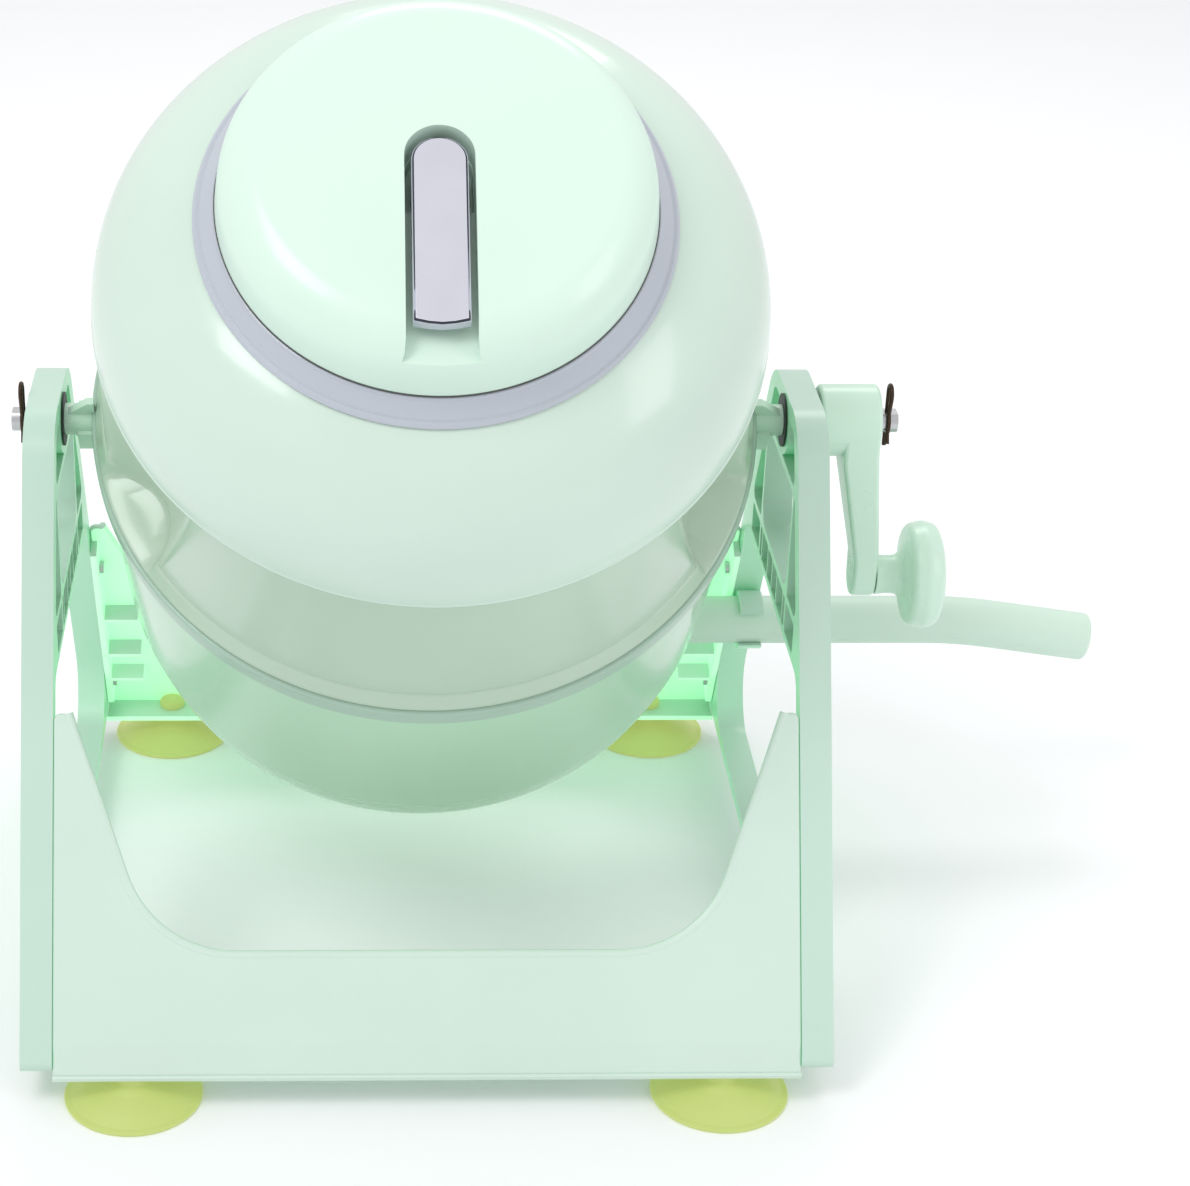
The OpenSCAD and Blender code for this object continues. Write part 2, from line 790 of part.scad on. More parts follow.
placed() color("palegreen") mirror([1, 0, 0]) side_frame();  // side_frame_left
placed() color("palegreen") side_frame();  // side_frame_right
placed() color("honeydew") wall_panel();  // front_wall
placed() color("palegreen") mirror([0, 1, 0]) wall_panel();  // rear_wall
placed() frame_screws();
placed() color("ivory") mirror([1, 0, 0]) bush(2);  // bush_left
placed() color("ivory") bush(2);  // bush_right
placed() tube_clip();
placed() color("yellowgreen") translate([-cup_x, -cup_y, 0]) cup();  // cup_front_left
placed() color("yellowgreen") translate([cup_x, -cup_y, 0]) cup();  // cup_front_right
placed() color("yellowgreen") translate([-cup_x, cup_y, 0]) cup();  // cup_rear_left
placed() color("yellowgreen") translate([cup_x, cup_y, 0]) cup();  // cup_rear_right
placed() carrier_ring();
placed() tub_seal();
placed() upper_tub();
placed() lower_tub();
placed() neck_ring();
placed() color("silver") mirror([1, 0, 0]) axle(left_end, left_clip_x);  // axle_left
placed() color("silver") axle(right_end, right_clip_x);  // axle_right
placed() color("black") mirror([1, 0, 0]) thrust_washer();  // washer_left
placed() color("black") thrust_washer();  // washer_right
placed() crank();
placed() color("dimgray") mirror([1, 0, 0]) spring_clip(left_clip_x);  // clip_left
placed() color("dimgray") spring_clip(right_clip_x);  // clip_right
placed() knob_screw();
placed() crank_knob();
placed() valve_seat();
placed() valve_nut();
placed() valve_plunger();
placed() valve_seal();
placed() valve_spring();
placed() lid_cap();
placed() lid_gasket();
placed() clamp_rod();
placed() lever_pin();
placed() pressure_plate();
placed() clamp_nut();
placed() lid_lever();
placed() lever_plate();
placed() drain_tube();
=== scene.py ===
"""A hand-cranked tumbling-drum washing machine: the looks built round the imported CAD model."""
import json
import math

import bmesh
import bpy
from mathutils import Matrix, Vector


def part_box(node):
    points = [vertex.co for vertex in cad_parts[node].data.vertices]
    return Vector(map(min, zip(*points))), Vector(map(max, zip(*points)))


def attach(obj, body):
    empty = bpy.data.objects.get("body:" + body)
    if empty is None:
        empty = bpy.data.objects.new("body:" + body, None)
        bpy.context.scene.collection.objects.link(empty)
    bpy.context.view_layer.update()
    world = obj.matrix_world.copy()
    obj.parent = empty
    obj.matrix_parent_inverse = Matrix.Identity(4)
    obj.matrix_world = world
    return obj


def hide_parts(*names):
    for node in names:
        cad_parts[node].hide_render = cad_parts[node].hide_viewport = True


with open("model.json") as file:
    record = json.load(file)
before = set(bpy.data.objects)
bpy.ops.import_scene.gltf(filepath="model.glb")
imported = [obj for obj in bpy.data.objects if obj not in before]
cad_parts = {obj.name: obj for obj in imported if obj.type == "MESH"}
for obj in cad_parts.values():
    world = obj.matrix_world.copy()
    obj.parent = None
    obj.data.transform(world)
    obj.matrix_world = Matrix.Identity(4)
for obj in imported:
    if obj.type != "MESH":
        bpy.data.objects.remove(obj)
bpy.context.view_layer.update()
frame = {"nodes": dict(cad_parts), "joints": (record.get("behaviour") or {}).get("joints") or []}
nodes = frame["nodes"]
MM = 0.001


# ---------- places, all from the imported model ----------

def joint(name):
    return next(j for j in frame["joints"] if j["name"] == name)


AXLE = Vector(joint("drum_spin")["pos_m"])
MIDDLE = Vector((AXLE.x, AXLE.y, 0))


def box_mm(node):
    """A node's corners in millimetres from the floor under the axle's middle."""
    low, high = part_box(node)
    return (low - MIDDLE) / MM, (high - MIDDLE) / MM


DRUM_UP = Vector(joint("valve_push")["axis"])
TILT = math.atan2(-DRUM_UP.y, DRUM_UP.z)
WORLD = Matrix.Translation(MIDDLE) @ Matrix.Scale(MM, 4)
DRUM = Matrix.Translation(AXLE) @ Matrix.Rotation(TILT, 4, "X") @ Matrix.Scale(MM, 4)
AXLE_Z = AXLE.z / MM
FRAME_LOW, FRAME_HIGH = box_mm("side_frame_right")
KNOB_Z = joint("knob_spin")["pos_m"][2] / MM


# ---------- materials ----------

def srgb(r, g, b):
    """A colour from 8-bit sRGB to the linear values that a shader takes."""
    def linear(c):
        c /= 255
        return c / 12.92 if c <= 0.04045 else ((c + 0.055) / 1.055) ** 2.4
    return (linear(r), linear(g), linear(b), 1)


def plastic(name, colour, roughness=0.25, grain=0.012, tint=0.03, coat=0.0, glow=None, through=0.0):
    """Moulded plastic: faint flow marks in the colour, fine orange peel in the surface, uneven gloss."""
    material = bpy.data.materials.new(name)
    material.use_nodes = True
    tree = material.node_tree
    shader = tree.nodes["Principled BSDF"]
    add = tree.nodes.new
    link = tree.links.new
    place = add("ShaderNodeTexCoord")

    flow = add("ShaderNodeTexNoise")
    flow.inputs["Scale"].default_value = 9
    flow.inputs["Detail"].default_value = 4
    link(place.outputs["Object"], flow.inputs["Vector"])
    ramp = add("ShaderNodeValToRGB")
    base = Vector(colour[:3])
    for stop, share in zip(ramp.color_ramp.elements, (1 - tint, 1 + tint)):
        stop.color = (*[min(1, c * share) for c in base], 1)
    ramp.color_ramp.elements[0].position = 0.3
    ramp.color_ramp.elements[1].position = 0.7
    link(flow.outputs["Fac"], ramp.inputs["Fac"])
    link(ramp.outputs["Color"], shader.inputs["Base Color"])

    haze = add("ShaderNodeTexNoise")
    haze.inputs["Scale"].default_value = 40
    haze.inputs["Detail"].default_value = 3
    link(place.outputs["Object"], haze.inputs["Vector"])
    spread = add("ShaderNodeMapRange")
    spread.inputs["To Min"].default_value = roughness * 0.85
    spread.inputs["To Max"].default_value = roughness * 1.2
    link(haze.outputs["Fac"], spread.inputs["Value"])
    link(spread.outputs["Result"], shader.inputs["Roughness"])

    peel = add("ShaderNodeTexNoise")
    peel.inputs["Scale"].default_value = 420
    peel.inputs["Detail"].default_value = 2
    link(place.outputs["Object"], peel.inputs["Vector"])
    bump = add("ShaderNodeBump")
    bump.inputs["Strength"].default_value = grain * 10
    bump.inputs["Distance"].default_value = 0.0002
    link(peel.outputs["Fac"], bump.inputs["Height"])
    link(bump.outputs["Normal"], shader.inputs["Normal"])

    shader.inputs["Coat Weight"].default_value = coat
    shader.inputs["Coat Roughness"].default_value = 0.05
    # glow is painted light: an emission colour laid into the surface.
    if glow:
        shader.inputs["Emission Color"].default_value = (*glow, 1)
        shader.inputs["Emission Strength"].default_value = 1
    if through:
        shader.inputs["Transmission Weight"].default_value = through
        shader.inputs["IOR"].default_value = 1.45
    return material


def painted_inner_glow(material, colour):
    """Painted glow for daylight through thin walls: the faces that look at the stand's middle emit a little
    light.
    """
    tree = material.node_tree
    shader = tree.nodes["Principled BSDF"]
    add = tree.nodes.new
    link = tree.links.new
    where = add("ShaderNodeNewGeometry")
    away = add("ShaderNodeVectorMath")
    away.operation = "SUBTRACT"
    away.inputs[1].default_value = MIDDLE
    unit = add("ShaderNodeVectorMath")
    unit.operation = "NORMALIZE"
    facing = add("ShaderNodeVectorMath")
    facing.operation = "DOT_PRODUCT"
    share = add("ShaderNodeMapRange")
    share.inputs["From Min"].default_value = -0.1
    share.inputs["From Max"].default_value = -0.4
    link(where.outputs["Position"], away.inputs[0])
    link(away.outputs["Vector"], unit.inputs[0])
    link(unit.outputs["Vector"], facing.inputs[0])
    link(where.outputs["Normal"], facing.inputs[1])
    link(facing.outputs["Value"], share.inputs["Value"])
    link(share.outputs["Result"], shader.inputs["Emission Strength"])
    shader.inputs["Emission Color"].default_value = (*colour, 1)


def metal(name, colour, roughness=0.25, brushed=0.0):
    """Metal with fine scratches along the part and a little uneven shine."""
    material = bpy.data.materials.new(name)
    material.use_nodes = True
    tree = material.node_tree
    shader = tree.nodes["Principled BSDF"]
    shader.inputs["Metallic"].default_value = 1
    add = tree.nodes.new
    link = tree.links.new
    place = add("ShaderNodeTexCoord")
    stretch = add("ShaderNodeMapping")
    stretch.inputs["Scale"].default_value = (1, 14 if brushed else 1, 14 if brushed else 1)
    link(place.outputs["Object"], stretch.inputs["Vector"])
    scratch = add("ShaderNodeTexNoise")
    scratch.inputs["Scale"].default_value = 60
    scratch.inputs["Detail"].default_value = 6
    link(stretch.outputs["Vector"], scratch.inputs["Vector"])
    spread = add("ShaderNodeMapRange")
    spread.inputs["To Min"].default_value = roughness * 0.7
    spread.inputs["To Max"].default_value = roughness * 1.3
    link(scratch.outputs["Fac"], spread.inputs["Value"])
    link(spread.outputs["Result"], shader.inputs["Roughness"])
    ramp = add("ShaderNodeValToRGB")
    for stop, share in zip(ramp.color_ramp.elements, (0.93, 1.03)):
        stop.color = (*[min(1, c * share) for c in colour[:3]], 1)
    link(scratch.outputs["Fac"], ramp.inputs["Fac"])
    link(ramp.outputs["Color"], shader.inputs["Base Color"])
    return material


LID = plastic("lid_plastic", srgb(213, 237, 223), 0.25)
DOME = plastic("dome_plastic", srgb(204, 223, 211), 0.2, coat=0.2)
# The belt is the dome's plastic made darker: painted shade of the downward-facing band.
BELT = plastic("belt_plastic_painted_shade", srgb(184, 205, 186), 0.2, coat=0.2)
# The bowl's darker tone is painted shade of its downward-facing wall.
BOWL = plastic("bowl_plastic", srgb(176, 217, 184), 0.16, coat=0.3)
# The hoop's darker tone is painted shade: it faces sideways and down.
HOOP = plastic("hoop_plastic", srgb(166, 193, 176), 0.22)
FRONT = plastic("front_plastic", srgb(206, 226, 214), 0.3)
STAND = plastic("frame_plastic", srgb(193, 219, 205), 0.3)
# The same plastic as the front wall; a painted glow is added to it below.
DEEP = plastic("rear_plastic", srgb(206, 226, 214), 0.35)
CRANK = plastic("crank_plastic", srgb(206, 233, 215), 0.28)
TUBE = plastic("tube_plastic", srgb(208, 230, 215), 0.42)
NYLON = plastic("nylon", srgb(236, 238, 234), 0.4)
# The cups' emission is a painted glow for light through the vinyl, on top of real transmission.
CUP = plastic("cup_vinyl", srgb(177, 185, 114), 0.35, glow=(0.18, 0.22, 0.07), through=0.25)
COLLAR = plastic("silver_collar", srgb(182, 188, 198), 0.3, coat=0.5)
PLATE = metal("bright_plate", srgb(232, 232, 244), 0.12)
# Dark metal for the painted shade round the lever plate.
EDGE = metal("painted_edge_shade", srgb(70, 72, 80), 0.3)
STEEL = metal("steel", srgb(196, 196, 198), 0.3, brushed=1)
WIRE = metal("dark_wire", srgb(74, 60, 50), 0.45)
# The washers are black as painted shade for the dark gap between trunnion and frame.
WASHER = plastic("black_washer", srgb(28, 30, 29), 0.5)
RUBBER = plastic("dark_rubber", srgb(74, 78, 76), 0.6)
# Painted glow: the frames' and the rear wall's faces toward the middle emit light, standing in for light
# through the thin plastic.
painted_inner_glow(STAND, (0.02, 0.14, 0.05))
painted_inner_glow(DEEP, (0.2, 0.54, 0.27))


# ---------- shapes ----------

def rounded(path, closed=True, finest=12):
    """Points of a path of (x, y, radius) with each corner rounded; a radius of 0 keeps the corner."""
    out = []
    count = len(path)
    for i, corner in enumerate(path):
        p = Vector(corner[:2])
        r = corner[2] if len(corner) > 2 else 0
        if r == 0 or (not closed and i in (0, count - 1)):
            out.append((p.x, p.y))
            continue
        u = (Vector(path[i - 1][:2]) - p).normalized()
        w = (Vector(path[(i + 1) % count][:2]) - p).normalized()
        half = math.acos(max(-1, min(1, u.dot(w)))) / 2
        centre = p + (u + w).normalized() * r / math.sin(half)
        start = p + u * r / math.tan(half) - centre
        end = p + w * r / math.tan(half) - centre
        turn = math.pi - 2 * half
        steps = max(2, math.ceil(math.degrees(turn) / finest))
        for k in range(steps + 1):
            a, b = math.sin((1 - k / steps) * turn), math.sin(k / steps * turn)
            q = centre + (start * a + end * b) / math.sin(turn)
            out.append((q.x, q.y))
    return out


def arc(cx, cy, r, a0, a1, steps):
    """Points of an arc, angles in degrees."""
    angles = [math.radians(a0 + (a1 - a0) * k / steps) for k in range(steps + 1)]
    return [(cx + r * math.cos(a), cy + r * math.sin(a)) for a in angles]


def finish_mesh(obj, sharp):
    mesh = obj.data
    work = bmesh.new()
    work.from_mesh(mesh)
    bmesh.ops.remove_doubles(work, verts=work.verts, dist=1e-6)
    bmesh.ops.recalc_face_normals(work, faces=work.faces)
    work.to_mesh(mesh)
    work.free()
    mesh.shade_smooth()
    mesh.set_sharp_from_angle(angle=math.radians(sharp))


def piece(name, verts, faces, material, body, place=WORLD, stands_for=(), sharp=40):
    """A named mesh piece, given in millimetres, that rides on a body."""
    mesh = bpy.data.meshes.new(name)
    mesh.from_pydata([tuple(v) for v in verts], [], faces)
    mesh.transform(place)
    obj = bpy.data.objects.new(name, mesh)
    bpy.context.scene.collection.objects.link(obj)
    finish_mesh(obj, sharp)
    return own(obj, material, body, stands_for)


def own(obj, material, body, stands_for=()):
    obj.data.materials.clear()
    obj.data.materials.append(material)
    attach(obj, body)
    if stands_for:
        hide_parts(*stands_for)
    return obj


def turned(profile, steps=160, closed=True):
    """Vertices and faces of a section of (radius, height) turned about Z."""
    verts, rings, faces = [], [], []
    for r, t in profile:
        first = len(verts)
        if abs(r) < 1e-6:
            verts.append((0, 0, t))
            rings.append([first])
        else:
            verts += [(r * math.cos(2 * math.pi * k / steps), r * math.sin(2 * math.pi * k / steps), t)
                      for k in range(steps)]
            rings.append(list(range(first, first + steps)))
    pairs = list(zip(rings, rings[1:] + rings[:1] if closed else rings[1:]))
    for a, b in pairs:
        if len(a) == 1 and len(b) == 1:
            continue
        for k in range(steps):
            n = (k + 1) % steps
            if len(a) == 1:
                faces.append((a[0], b[n], b[k]))
            elif len(b) == 1:
                faces.append((a[k], a[n], b[0]))
            else:
                faces.append((a[k], a[n], b[n], b[k]))
    return verts, faces


def lathe(name, path, material, body, place=DRUM, stands_for=(), steps=160, sharp=40, finest=12):
    return piece(name, *turned(rounded(path, finest=finest), steps), material, body, place, stands_for, sharp)


def slab_mesh(outline, low, high):
    """Vertices and faces of an outline pushed from one height to another."""
    n = len(outline)
    verts = [(x, y, low) for x, y in outline] + [(x, y, high) for x, y in outline]
    faces = [tuple(reversed(range(n))), tuple(range(n, 2 * n))]
    faces += [(i, (i + 1) % n, n + (i + 1) % n, n + i) for i in range(n)]
    return verts, faces


def loose(verts, faces, place):
    """A nameless helper mesh for cutting or joining."""
    mesh = bpy.data.meshes.new("helper")
    mesh.from_pydata([tuple(v) for v in verts], [], faces)
    mesh.transform(place)
    obj = bpy.data.objects.new("helper", mesh)
    bpy.context.scene.collection.objects.link(obj)
    finish_mesh(obj, 40)
    return obj


def apply_all(obj):
    """Replaces the object's mesh by its evaluated mesh and clears the modifiers."""
    graph = bpy.context.evaluated_depsgraph_get()
    graph.update()
    mesh = bpy.data.meshes.new_from_object(obj.evaluated_get(graph))
    obj.modifiers.clear()
    old = obj.data
    obj.data = mesh
    bpy.data.meshes.remove(old)


def combine(obj, others, how):
    for other in others:
        step = obj.modifiers.new("step", "BOOLEAN")
        step.operation = how
        step.solver = "EXACT"
        step.object = other
        apply_all(obj)
        bpy.data.objects.remove(other)
        if not obj.data.polygons:
            raise RuntimeError("a boolean step left nothing")


def soften(obj, width, steps=3, angle=40):
    """Rounds every edge sharper than the angle."""
    bevel = obj.modifiers.new("bevel", "BEVEL")
    bevel.width = width * MM
    bevel.segments = steps
    bevel.limit_method = "ANGLE"
    bevel.angle_limit = math.radians(angle)
    bevel.harden_normals = False
    apply_all(obj)


def cut_slab(name, outline, cuts, place, round_off, stands_for):
    """A side frame: a slab with slabs, given as (outline, low, high), cut from it, and its edges rounded."""
    obj = loose(*slab_mesh(outline, INNER, OUTER), place)
    combine(obj, [loose(*slab_mesh(*c), place) for c in cuts], "DIFFERENCE")
    soften(obj, round_off)
    obj.name = name
    obj.data.name = name
    finish_mesh(obj, 40)
    return own(obj, STAND, "stand", stands_for)


def circle(cx, cy, r, steps=48):
    return arc(cx, cy, r, 0, 360, steps)[:-1]


def wire(name, points, radius, material, body, place=WORLD, stands_for=()):
    """A round wire along a smooth path through the points, in millimetres."""
    curve = bpy.data.curves.new(name, "CURVE")
    curve.dimensions = "3D"
    curve.bevel_depth = radius * MM
    curve.bevel_resolution = 5
    curve.use_fill_caps = True
    spline = curve.splines.new("POLY")
    spline.points.add(len(points) - 1)
    for slot, p in zip(spline.points, points):
        slot.co = (*(place @ Vector(p)), 1)
    holder = bpy.data.objects.new(name, curve)
    bpy.context.scene.collection.objects.link(holder)
    graph = bpy.context.evaluated_depsgraph_get()
    graph.update()
    mesh = bpy.data.meshes.new_from_object(holder.evaluated_get(graph))
    bpy.data.objects.remove(holder)
    mesh.name = name
    obj = bpy.data.objects.new(name, mesh)
    bpy.context.scene.collection.objects.link(obj)
    finish_mesh(obj, 50)
    return own(obj, material, body, stands_for)


def flow_normals(obj):
    """Keeps large faces flat in shading where they meet small rounded edges."""
    weighted = obj.modifiers.new("normals", "WEIGHTED_NORMAL")
    weighted.keep_sharp = True
    weighted.weight = 50
    apply_all(obj)
    return obj


# Where (x, y, z) of a flat outline goes: y of the outline up, its thickness along X to the right or left
TO_RIGHT = WORLD @ Matrix(((0, 0, 1, 0), (1, 0, 0, 0), (0, 1, 0, 0), (0, 0, 0, 1)))
TO_LEFT = WORLD @ Matrix(((0, 0, -1, 0), (1, 0, 0, 0), (0, 1, 0, 0), (0, 0, 0, 1)))
SIDES = (("right", TO_RIGHT, 1), ("left", TO_LEFT, -1))


# ---------- stand ----------

INNER = 148
OUTER = FRAME_HIGH[0]
BOTTOM = FRAME_LOW[2]
TOP = FRAME_HIGH[2]
FOOT = 157.8
LEAN = 0.545
LEAN_ANGLE = math.atan(LEAN)
BAND = 9.5 / math.cos(LEAN_ANGLE)
BAR = (149, 168)
POCKET = 8
BOSS = 14
WINDOW_W, WINDOW_TOP = 71, 212
PANEL_LOW = 215
PAST = 5  # how far a cutter runs past a face


def half_at(z):
    return FOOT - LEAN * (z - BOTTOM)


def mirrored(outline):
    return [(-x, y) for x, y in reversed(outline)]


def trapezium(w0, z0, w1, z1, r0, r1):
    return rounded([(-w0, z0, r0), (w0, z0, r0), (w1, z1, r1), (-w1, z1, r1)])


def side_frame(side, place):
    low = BOTTOM + 5
    through = [
        (trapezium(half_at(low) - BAND, low, half_at(BAR[0]) - BAND, BAR[0], 22, 10), INNER - PAST,
         OUTER + PAST),
        (circle(0, AXLE_Z, 8.1), INNER - PAST, OUTER + PAST),
    ]
    half = WINDOW_W / 2
    upper = [(-half, BAR[1], 10), (half, BAR[1], 10), (half, WINDOW_TOP, 4), (-half, WINDOW_TOP, 4)]
    through.append((rounded(upper), INNER - PAST, OUTER + PAST))
    sunk = []
    y0, y1 = 38.5, half_at(BAR[1]) - BAND
    corner = rounded([(y0, BAR[1], 2), (y1, BAR[1], 4), (y0, BAR[1] + (y1 - y0) / LEAN, 1)])
    cells = [(0.75, 12.25), (13.75, 29.25), (30.75, 35.5), (38.5, 60)]
    z0, z1 = BAR[0] + 3, BAR[1] - 3
    flats = [corner] + [rounded([(a, z0, 1), (b, z0, 1), (b, z1, 1), (a, z1, 1)]) for a, b in cells]
    for flat in flats:
        sunk += [(plan, INNER - PAST, INNER + POCKET) for plan in (flat, mirrored(flat))]
    for s in (1, -1):
        w0, w1 = half_at(PANEL_LOW) - BAND, half_at(TOP - 8) - BAND
        rim = arc(0, AXLE_Z, BOSS, -77, math.degrees(math.asin((TOP - 8 - AXLE_Z) / BOSS)), 14)
        round_boss = list(reversed(rim[1:-1])) + [(rim[0][0], PANEL_LOW + 0.4)]
        panel = rounded([(w0, PANEL_LOW, 3), (w1, TOP - 8, 8), rim[-1]] + round_boss)
        sunk.append((panel if s == 1 else mirrored(panel), INNER - PAST, INNER + POCKET))
    outline = trapezium(FOOT, BOTTOM, half_at(TOP), TOP, 4, 26)
    flow_normals(cut_slab("stand_frame_" + side, outline, through + sunk, place, 0.9, ["side_frame_" + side]))


for side, place, _ in SIDES:
    side_frame(side, place)


WALL = 3.2
CUT_LOW = 50
EAR = 143.5
SLANT = 0.346
CREASE = 13.5


def slope_place(flip):
    """Outlines drawn as (X, distance up the slope) in a wall's leaning plane; the skin's outer face is 0."""
    side = Matrix.Scale(-1 if flip else 1, 4, (0, 1, 0))
    lean = Matrix.Rotation(math.pi / 2 - LEAN_ANGLE, 4, "X")
    return WORLD @ side @ Matrix.Translation((0, -FOOT, BOTTOM)) @ lean


def cut_path(inset=0.0):
    """The U-cut's edge from ear to ear, moved into the wall by the inset."""
    low = 107.9 + inset
    high = low + (EAR - CUT_LOW) * SLANT
    base = CUT_LOW - inset
    return rounded([(high, EAR, 0), (low, base, 45 + inset), (-low, base, 45 + inset), (-high, EAR, 0)],
                   closed=False, finest=4)


def wall(name, flip, material, node):
    place = slope_place(flip)
    half = INNER - 0.1
    low, high = 107.9, 107.9 + (EAR - CUT_LOW) * SLANT
    corners = [(-half, 0.6, 0), (half, 0.6, 0), (half, EAR, 3), (high, EAR, 5), (low, CUT_LOW, 45),
               (-low, CUT_LOW, 45), (-high, EAR, 5), (-half, EAR, 3)]
    obj = loose(*slab_mesh(rounded(corners, finest=4), -WALL, 0), place)
    work = bmesh.new()
    work.from_mesh(obj.data)
    up = (place.to_3x3() @ Vector((0, 1, 0))).normalized()
    out = (place.to_3x3() @ Vector((0, 0, 1))).normalized()
    foot = place @ Vector((0, 0, 0))
    for v in (CREASE - 1.2, CREASE - 0.4, CREASE + 0.4, CREASE + 1.2):
        geom = work.verts[:] + work.edges[:] + work.faces[:]
        bmesh.ops.bisect_plane(work, geom=geom, plane_co=foot + up * v * MM, plane_no=up)
    for vert in work.verts:
        v = (vert.co - foot).dot(up) / MM
        drop = max(0.0, CREASE - v)
        if drop > 0.1:
            vert.co -= out * drop * 0.1 * MM
    work.to_mesh(obj.data)
    work.free()
    soften(obj, 1.25, 3, 30)
    obj.name = obj.data.name = name
    finish_mesh(obj, 50)
    own(obj, material, "stand", [node])
    flow_normals(obj)

    rim = wire(name + "_rim", [(x, v, -WALL / 2) for x, v in cut_path(1.9)], 1.95, material, "stand", place)
    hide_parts(node)

    # flanges and ribs behind the skin, and the foot that the cups hang from
    parts = []
    for s in (1, -1):
        x0, x1 = sorted((s * half, s * (half - WALL)))
        parts.append(([(x0, 12), (x1, 12), (x1, 134), (x0, 134)], -12, -WALL / 2))
        for v in (32, 53, 82):
            x0, x1 = sorted((s * half, s * (half - 19)))
            parts.append(([(x0, v - 1), (x1, v - 1), (x1, v + 1), (x0, v + 1)], -12, -WALL / 2))
    for i, part in enumerate(parts):
        rib = loose(*slab_mesh(*part), place)
        soften(rib, 0.5, 2)
        rib.name = rib.data.name = f"{name}_rib_{i}"
        finish_mesh(rib, 50)
        own(rib, material, "stand", [node])
        flow_normals(rib)
    y = 1 if flip else -1
    edge, back, under = -FOOT + 0.2, -FOOT + 22, BOTTOM - 2.5
    foot_section = rounded([(edge, BOTTOM + 0.4, 1.5), (edge, under, 2), (back, under, 0.8),
                            (back, BOTTOM, 0.8),
                            (-FOOT + 5, BOTTOM, 1)])
    verts, faces = slab_mesh([(-y * a, b) for a, b in foot_section], -half, half)
    flange = loose(verts, faces, TO_RIGHT)
    flange.name = flange.data.name = name + "_foot"
    finish_mesh(flange, 50)
    own(flange, material, "stand", [node])
    flow_normals(flange)


wall("front_skin", False, FRONT, "front_wall")
wall("rear_skin", True, DEEP, "rear_wall")


def cup(node):
    low, high = box_mm(node)
    place = WORLD @ Matrix.Translation(((low[0] + high[0]) / 2, (low[1] + high[1]) / 2, 0))
    r = (high[0] - low[0]) / 2
    under = BOTTOM - 2.5
    path = [(0, 3.2), (10, 2.8, 20), (20, 1.4, 20), (24.5, 0.1, 1), (r - 0.5, 0.1, 0.4), (r, 0.6, 0.4),
            (r, 1.5, 0.5), (r - 2.5, 1.8, 1), (20, 4.2, 12), (12, 7, 10), (7, 9.5, 3), (6.4, under, 0),
            (4, under, 0), (4, BOTTOM, 0),
            (5.7, BOTTOM, 0.3), (6.1, BOTTOM + 1.6, 0.8), (5.8, BOTTOM + 3, 1), (4.7, BOTTOM + 4, 1),
            (3, BOTTOM + 4.7, 1), (0, BOTTOM + 4.8)]
    flow_normals(lathe("suction_" + node, path, CUP, "stand", place, [node], steps=96))


for spot in ("front_left", "front_right", "rear_left", "rear_right"):
    cup("cup_" + spot)


# ---------- drum ----------

RIM = 134
SEAM = RIM - 6.6
HOOP_R = 135.7
BELT_TOP = 91.6
DOME_R, DOME_C = 60, (69, 92)
TUB = 2.8
MOUTH = 75
BITE_TURN = math.radians(24)
BITE_APEX = (119.3, -25)
BITE_LEAN = math.radians(25.1)
BITE_HALF = math.radians(32.6)
BITE_FLOOR = 10


def bite_radius(turn, t):
    """Where a level ray from the drum's axis enters the hand pocket's cone."""
    best = 1e3
    c2 = math.cos(BITE_HALF) ** 2
    a = (math.sin(BITE_LEAN), 0, math.cos(BITE_LEAN))
    w = (-BITE_APEX[0], 0, t - BITE_APEX[1])
    wa = w[0] * a[0] + w[2] * a[2]
    ww = w[0] ** 2 + w[2] ** 2
    for centre in (BITE_TURN, -BITE_TURN, math.pi - BITE_TURN, math.pi + BITE_TURN):
        phi = (turn - centre + math.pi) % (2 * math.pi) - math.pi
        if abs(phi) > 1.2:
            continue
        d = (math.cos(phi), math.sin(phi))
        da, wd = d[0] * a[0], w[0] * d[0]
        p, q, s = da * da - c2, 2 * (wa * da - c2 * wd), wa * wa - c2 * ww
        root = q * q - 4 * p * s
        if root <= 0:
            continue
        found = [(-q + e * math.sqrt(root)) / (2 * p) for e in (1, -1)]
        found = [f for f in found if f > 0 and f * da + wa > 0]
        if found:
            best = min(best, min(found))
    return best


def smooth_min(a, b, k):
    h = max(k - abs(a - b), 0) / k
    return min(a, b) - h * h * k / 4


def ramp(t, t0, t1):
    u = max(0.0, min(1.0, (t - t0) / (t1 - t0)))
    return u * u * (3 - 2 * u)


def bitten(r, turn, t, wall_off):
    low = BITE_FLOOR - wall_off
    if t < low - 1 or t > BELT_TOP + wall_off:
        return r
    share = ramp(t, low - 0.7, low + 1.3) * (1 - ramp(t, BELT_TOP - 1.4 + wall_off, BELT_TOP + wall_off))
    deep = smooth_min(r, bite_radius(turn, t) - wall_off, 5)
    return r - (r - min(deep, r)) * share


def tub_grid(profile, steps, wall_off):
    rows = []
    for r, t in profile:
        rows.append([(bitten(r, 2 * math.pi * k / steps, t, wall_off), 2 * math.pi * k / steps, t)
                     for k in range(steps)])
    return rows


def grid_piece(name, rows, material, body, stands_for, sharp=50):
    steps = len(rows[0])
    verts = [(r * math.cos(a), r * math.sin(a), t) for row in rows for r, a, t in row]
    faces = []
    for i in range(len(rows)):
        n = (i + 1) % len(rows)
        for k in range(steps):
            j = (k + 1) % steps
            faces.append((i * steps + k, i * steps + j, n * steps + j, n * steps + k))
    return piece(name, verts, faces, material, body, DRUM, stands_for, sharp)


def levels(t0, t1, count):
    return [t0 + (t1 - t0) * k / count for k in range(count + 1)]


